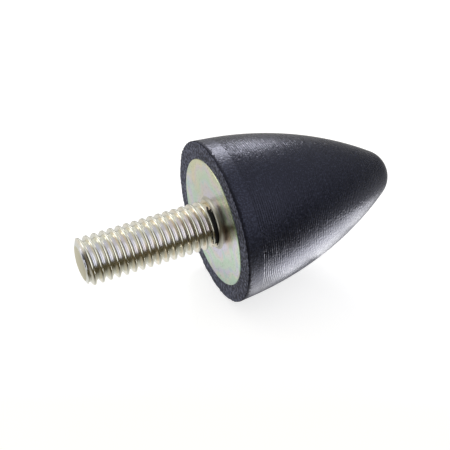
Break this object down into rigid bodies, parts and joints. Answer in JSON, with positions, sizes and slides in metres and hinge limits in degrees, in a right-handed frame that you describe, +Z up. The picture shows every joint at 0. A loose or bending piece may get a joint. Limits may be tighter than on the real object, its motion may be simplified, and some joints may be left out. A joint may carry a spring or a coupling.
{
  "type": "rubber buffer",
  "caption": "Parabolic rubber buffer: a tapering black rubber body bonded to a zinc-plated steel disc with a threaded mounting stud.",
  "frame": {"origin": "centre of the steel disc's outer face, which seats on whatever the buffer is screwed to", "axes": "+X along the axis from the disc towards the rubber nose, -X along the stud, +Z up with the buffer lying on its side"},
  "size_m": [0.0411, 0.0202, 0.0202],
  "materials": {
    "moulded_rubber": "satin black natural rubber, finely turned on the flank",
    "disc_yellow_zinc": "yellow-passivated zinc plate, semi-gloss and faintly iridescent",
    "stud_yellow_zinc": "rolled thread under yellow-passivated zinc plate"
  },
  "bodies": {
    "root": {"rubber_body": "moulded_rubber", "base_plate": "disc_yellow_zinc", "threaded_stud": "stud_yellow_zinc"}
  },
  "joints": []
}
